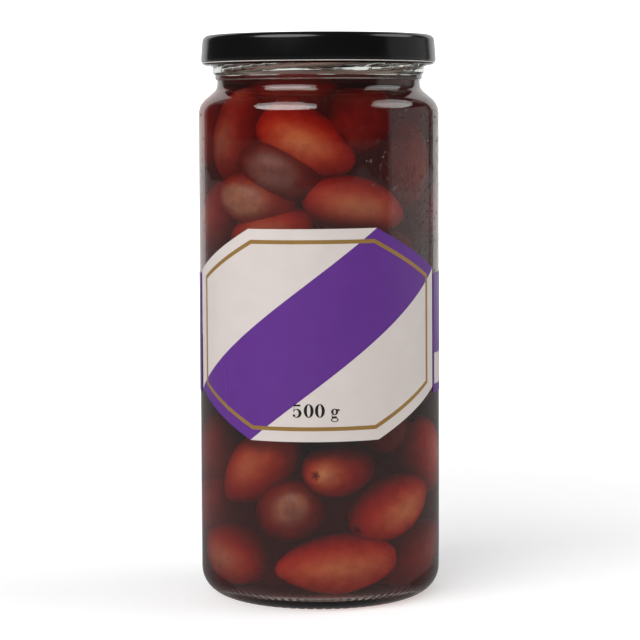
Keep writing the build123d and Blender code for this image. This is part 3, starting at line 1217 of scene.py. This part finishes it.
@dataclass
class NetWeight(Label):
    """The printed weight, 500 g, in upright high-contrast numerals."""

    across: float = 0.7
    below: float = 21.3
    digit_height: float = 3.76
    ink: float = 0.02

    def loop(
        self, bm: bmesh.types.BMesh, middle: Point, outer: Point, inner: Point, shift: float = 0.0
    ) -> list:
        """Flat ring between two ellipses: the bowl of a figure.

        Args:
            bm: The mesh that takes it.
            middle: Centre of the outer ellipse.
            outer: Its half width and half height.
            inner: The same of the inner one.
            shift: How far the inner one lies to the right.

        Returns:
            The ring's faces.
        """
        edges = []
        for centre_x, half in ((middle[0], outer), (middle[0] + shift, inner)):
            made = bmesh.ops.create_circle(bm, segments=40, radius=1.0)["verts"]
            bmesh.ops.scale(bm, vec=(*half, 1), verts=made)
            bmesh.ops.translate(bm, vec=(centre_x, middle[1], 0), verts=made)
            edges += list({edge for vert in made for edge in vert.link_edges})
        return bmesh.ops.bridge_loops(bm, edges=edges)["faces"]

    def bar(self, bm: bmesh.types.BMesh, low: Point, high: Point) -> None:
        """Flat upright rectangle between two corners."""
        made = bmesh.ops.create_grid(bm, x_segments=1, y_segments=1, size=0.5)["verts"]
        bmesh.ops.scale(bm, vec=(high[0] - low[0], high[1] - low[1], 1), verts=made)
        bmesh.ops.translate(bm, vec=((low[0] + high[0]) / 2, (low[1] + high[1]) / 2, 0), verts=made)

    def dot(self, bm: bmesh.types.BMesh, middle: Point, radius: float) -> None:
        """Flat disc: the ball that ends a stroke."""
        made = bmesh.ops.create_circle(bm, segments=16, radius=radius, cap_ends=True)["verts"]
        bmesh.ops.translate(bm, vec=(*middle, 0), verts=made)

    def nought(self) -> bmesh.types.BMesh:
        """The figure 0, one unit high."""
        bm = bmesh.new()
        self.loop(bm, (0.36, 0.5), (0.37, 0.515), (0.135, 0.455))
        return bm

    def five(self) -> bmesh.types.BMesh:
        """The figure 5: an open bowl with a ball, a hairline stem and a thick flag."""
        bm = bmesh.new()
        bowl = self.loop(bm, (0.33, 0.32), (0.35, 0.34), (0.185, 0.275), -0.06)
        gone = [f for f in bowl if self.is_open(f.calc_center_median())]
        bmesh.ops.delete(bm, geom=gone, context="FACES")
        self.dot(bm, (0.1, 0.15), 0.095)
        self.bar(bm, (0.085, 0.4), (0.125, 0.98))
        self.bar(bm, (0.085, 0.84), (0.6, 0.98))
        return bm

    @staticmethod
    def is_open(spot: Vector) -> bool:
        """Whether a place lies in the gap of the 5's bowl."""
        return spot.x < 0.12 and 0.16 < spot.y < 0.44

    def letter_g(self) -> bmesh.types.BMesh:
        """The letter g with two loops, its ear and the thin link between the loops."""
        bm = bmesh.new()
        self.loop(bm, (0.29, 0.41), (0.265, 0.245), (0.095, 0.185))
        self.loop(bm, (0.29, -0.19), (0.29, 0.17), (0.2, 0.11))
        self.bar(bm, (0.07, 0.05), (0.12, 0.2))
        self.bar(bm, (0.07, -0.04), (0.45, 0.07))
        self.bar(bm, (0.44, 0.56), (0.62, 0.61))
        self.dot(bm, (0.6, 0.54), 0.08)
        return bm

    def build(self, ink: bpy.types.Material, centre_height: float, tilt: float) -> bpy.types.Object:
        """Set the figures in a line and lay them on the front label."""
        line = ((self.five, 0.0), (self.nought, 0.86), (self.nought, 1.7), (self.letter_g, 2.88))
        whole = bmesh.new()
        for make, start in line:
            figure = make()
            bmesh.ops.translate(figure, vec=(start - 1.74, -0.5, 0), verts=figure.verts)
            mesh = as_mesh("figure", figure, [])
            whole.from_mesh(mesh)
            bpy.data.meshes.remove(mesh)
        bmesh.ops.scale(whole, vec=(self.digit_height, self.digit_height, 1), verts=whole.verts)
        bmesh.ops.translate(whole, vec=(self.across, -self.below, 0), verts=whole.verts)
        self.thicken(whole, self.ink)
        out = self.jar.radius + self.lift + self.thickness
        self.bend(whole, 0, centre_height, out, tilt)
        return as_piece("net_weight", whole, [ink], sharp_angle=30)


# ---------------------------------------------------------------- water on the glass
@dataclass
class Mist:
    """Fine drops of condensed water in patches on the right of the jar and a few on the left."""

    jar: GlassJar
    seed: int = 5
    patches: tuple[tuple[float, float, float, float, int], ...] = (
        (52.0, 129.0, 11.0, 11.0, 190), (64.0, 112.0, 6.0, 9.0, 120), (76.0, 128.0, 8.0, 14.0, 120),
        (36.0, 126.0, 5.0, 4.0, 40), (50.0, 106.5, 7.0, 2.5, 45), (-68.0, 122.0, 4.0, 14.0, 16),
        (46.0, 51.0, 4.0, 1.5, 26), (-62.0, 9.0, 6.0, 3.0, 22),
    )

    def build(self, water: bpy.types.Material) -> bpy.types.Object:
        """Scatter the drops, each a flat dome sunk in the glass."""
        rng = random.Random(self.seed)
        bm = bmesh.new()
        for angle, height, spread_angle, spread_height, count in self.patches:
            for _ in range(count):
                where = rng.gauss(angle, spread_angle)
                level = rng.gauss(height, spread_height)
                size = min(0.1 + rng.expovariate(10), 0.45)
                if level < self.jar.heel or level > self.jar.height - self.jar.shoulder_drop - 1.5:
                    continue
                drop = bmesh.ops.create_uvsphere(bm, u_segments=8, v_segments=5, radius=1.0)["verts"]
                shape = Matrix.Diagonal((size, size * rng.uniform(1.0, 1.3), size * 0.5, 1))
                face_out = Vector((0, 0, 1)).rotation_difference(around(1, where, 0)).to_matrix().to_4x4()
                place = Matrix.Translation(around(self.jar.radius, where, level))
                bmesh.ops.transform(bm, matrix=Matrix.Scale(MM, 4) @ place @ face_out @ shape, verts=drop)
        return as_piece("water_drops", bm, [water], sharp_angle=180)


# ---------------------------------------------------------------- camera, lamps and stage
@dataclass(frozen=True)
class StageWhite(Finish):
    """Matt white paper: brighter to the camera away from the jar, and dimmer to glass and gloss."""

    near: float = 0.0
    far: float = 0.0
    mirrored: float = 0.0
    near_reach: float = 0.2
    far_reach: float = 0.6

    def surface(self, tree: bpy.types.NodeTree) -> bpy.types.NodeSocket:
        """Shader of the surface."""
        path = add_node(tree, "ShaderNodeLightPath")
        place = add_node(tree, "ShaderNodeTexCoord")
        reach = add_node(tree, "ShaderNodeVectorMath", {"operation": "LENGTH"}, {
            0: place.outputs["Object"]
        })
        glow = add_node(tree, "ShaderNodeMapRange", {"interpolation_type": "SMOOTHSTEP"}, {
            "Value": reach.outputs["Value"], "From Min": self.near_reach, "From Max": self.far_reach,
            "To Min": self.near, "To Max": self.far,
        })
        strength = add_node(tree, "ShaderNodeMath", {"operation": "MULTIPLY"}, {
            0: path.outputs["Is Camera Ray"], 1: glow.outputs[0]
        })
        matt = add_node(tree, "ShaderNodeBsdfDiffuse", None, {"Color": linear("#f2f2f2")})
        light = add_node(tree, "ShaderNodeEmission", None, {"Strength": strength.outputs[0]})
        both = add_node(tree, "ShaderNodeAddShader", None, {0: matt.outputs[0], 1: light.outputs[0]})
        mirror = add_node(tree, "ShaderNodeEmission", None, {"Strength": self.mirrored})
        mix = add_node(tree, "ShaderNodeMixShader", None, {
            0: path.outputs["Is Glossy Ray"], 1: both.outputs[0], 2: mirror.outputs[0]
        })
        return mix.outputs[0]


@dataclass
class Studio:
    """White sweep and floor, a large lamp high on the left and two lamps on the right."""

    turn: float = 3.3
    distance: float = 658.0
    eye: float = 141.2
    pitch: float = 4.3
    roll: float = -0.25
    lens: float = 124.6
    shift_x: float = 0.001
    shift_y: float = -0.0555
    aim: float = 80.0

    def around_camera(self, distance: float, angle: float, elevation: float) -> Vector:
        """Place at a distance from the jar's middle, at an angle from the camera towards its right."""
        level = distance * math.cos(math.radians(elevation))
        spot = around(level, self.turn + angle, 0)
        spot.z = self.aim + distance * math.sin(math.radians(elevation))
        return spot * MM

    def camera(self) -> None:
        """Put the camera in front of the jar, looking slightly down."""
        data = bpy.data.cameras.new("camera")
        data.lens = self.lens
        data.sensor_width = 36.0
        data.shift_x = self.shift_x
        data.shift_y = self.shift_y
        camera = add_object("camera", data)
        camera.location = around(self.distance, self.turn, self.eye) * MM
        turn = Matrix.Rotation(math.radians(self.turn), 4, "Z")
        look = Matrix.Rotation(math.radians(90 - self.pitch), 4, "X")
        roll = Matrix.Rotation(math.radians(self.roll), 4, "Z")
        camera.rotation_euler = (turn @ look @ roll).to_euler()
        bpy.context.scene.camera = camera

    def lamp(
        self, name: str, angle: float, elevation: float, distance: float, size: Point, radiance: float,
        shape: str,
    ) -> None:
        """Hang one soft lamp that faces the jar.

        Args:
            name: Its name.
            angle: Where it hangs, from the camera towards its right.
            elevation: How high, in degrees.
            distance: How far from the jar's middle.
            size: Its width and height.
            radiance: Its brightness, where 1 looks white.
            shape: RECTANGLE or ELLIPSE.
        """
        data = bpy.data.lights.new(name, "AREA")
        data.shape = shape
        data.size, data.size_y = (side * MM for side in size)
        area = data.size * data.size_y * (math.pi / 4 if shape == "ELLIPSE" else 1)
        data.energy = radiance * math.pi * area
        lamp = add_object(name, data)
        lamp.location = self.around_camera(distance, angle, elevation)
        look = Vector((0, 0, self.aim * MM)) - lamp.location
        lamp.rotation_euler = look.to_track_quat("-Z", "Y").to_euler()
        lamp.visible_camera = False

    def lamps(self) -> None:
        """Hang the lamps."""
        self.lamp("key", -38, 44, 900, (900, 640), 4.3, "ELLIPSE")
        self.lamp("side", 93, 42, 900, (700, 520), 2.5, "ELLIPSE")
        self.lamp("panel", 99, 9, 520, (560, 300), 0.32, "RECTANGLE")

    def stage(self) -> None:
        """Lay the floor and hang the sweep behind the jar."""
        for name, near, far, mirrored in (("floor", 0.22, 0.9, 0.24), ("sweep", 1.0, 1.0, 0.9)):
            bm = bmesh.new()
            bmesh.ops.create_grid(bm, x_segments=1, y_segments=1, size=1.0)
            if name == "floor":
                bmesh.ops.scale(bm, vec=(4, 4, 1), verts=bm.verts)
            else:
                bmesh.ops.scale(bm, vec=(0.62, 0.5, 1), verts=bm.verts)
                upright = Matrix.Rotation(math.radians(90), 4, "X")
                behind = Matrix.Translation((0, 0.72, 0.5))
                turn = Matrix.Rotation(math.radians(self.turn), 4, "Z")
                bmesh.ops.transform(bm, matrix=turn @ behind @ upright, verts=bm.verts)
            white = StageWhite(f"matt white {name}", near, far, mirrored).make()
            add_object(name, as_mesh(name, bm, [white]))

    def world(self) -> None:
        """White to the camera, dim grey to everything else."""
        world = bpy.data.worlds.new("studio")
        bpy.context.scene.world = world
        world.use_nodes = True
        tree = world.node_tree
        tree.nodes.clear()
        path = add_node(tree, "ShaderNodeLightPath")
        colour = add_node(tree, "ShaderNodeMix", {"data_type": "RGBA"}, {
            0: path.outputs["Is Glossy Ray"], 6: (0.36, 0.36, 0.36, 1), 7: (0.05, 0.05, 0.05, 1)
        })
        seen = add_node(tree, "ShaderNodeMix", {"data_type": "RGBA"}, {
            0: path.outputs["Is Camera Ray"], 6: colour.outputs[2], 7: (1, 1, 1, 1)
        })
        sky = add_node(tree, "ShaderNodeBackground", None, {"Color": seen.outputs[2]})
        out = add_node(tree, "ShaderNodeOutputWorld")
        tree.links.new(sky.outputs[0], out.inputs["Surface"])


# ---------------------------------------------------------------- putting it together
WHITE_PAPER = CoatedPaper("white coated label paper", "#dbd1cc", "#d1c7c2")
PURPLE_PRINT = CoatedPaper("purple print on coated paper", "#632c8e", "#5a2684", roughness=0.36)
GOLD_PRINT = CoatedPaper("gold print on coated paper", "#b08a4c", "#a07a40", roughness=0.34, metallic=0.35)
LID_LINING = Plastisol("white food-safe coat inside the lid", "#e6dcd6")
BLACK_INK = CoatedPaper("black ink on coated paper", "#1a1718", "#151213", roughness=0.3)


def main() -> None:
    """Build the jar, its contents, lid and labels, then the studio."""
    logging.basicConfig(level=logging.INFO, format="%(name)s %(message)s")
    studio = Studio()
    studio.camera()
    studio.lamps()
    studio.stage()
    studio.world()
    bpy.context.scene.view_settings.view_transform = "Standard"

    jar = GlassJar()
    jar.build(PressedGlass().make())
    fill = BrineFill(jar)
    fill.build(OliveBrine().make())
    OliveBed(jar, fill.level()).build(OliveSkin().make())

    lid = TwistOffLid(jar)
    lid.build(BlackLacquer().make(), LID_LINING.make())
    lid.build_seal(Plastisol().make())

    white, purple, gold, black = (
        finish.make() for finish in (WHITE_PAPER, PURPLE_PRINT, GOLD_PRINT, BLACK_INK)
    )
    front = FrontLabel(jar)
    front.build([white, purple, gold])
    BackLabel(jar).build([white, purple])
    NetWeight(jar).build(black, front.centre_height(), front.tilt)
    Mist(jar).build(Dew().make())


if __name__ == "__main__":
    main()
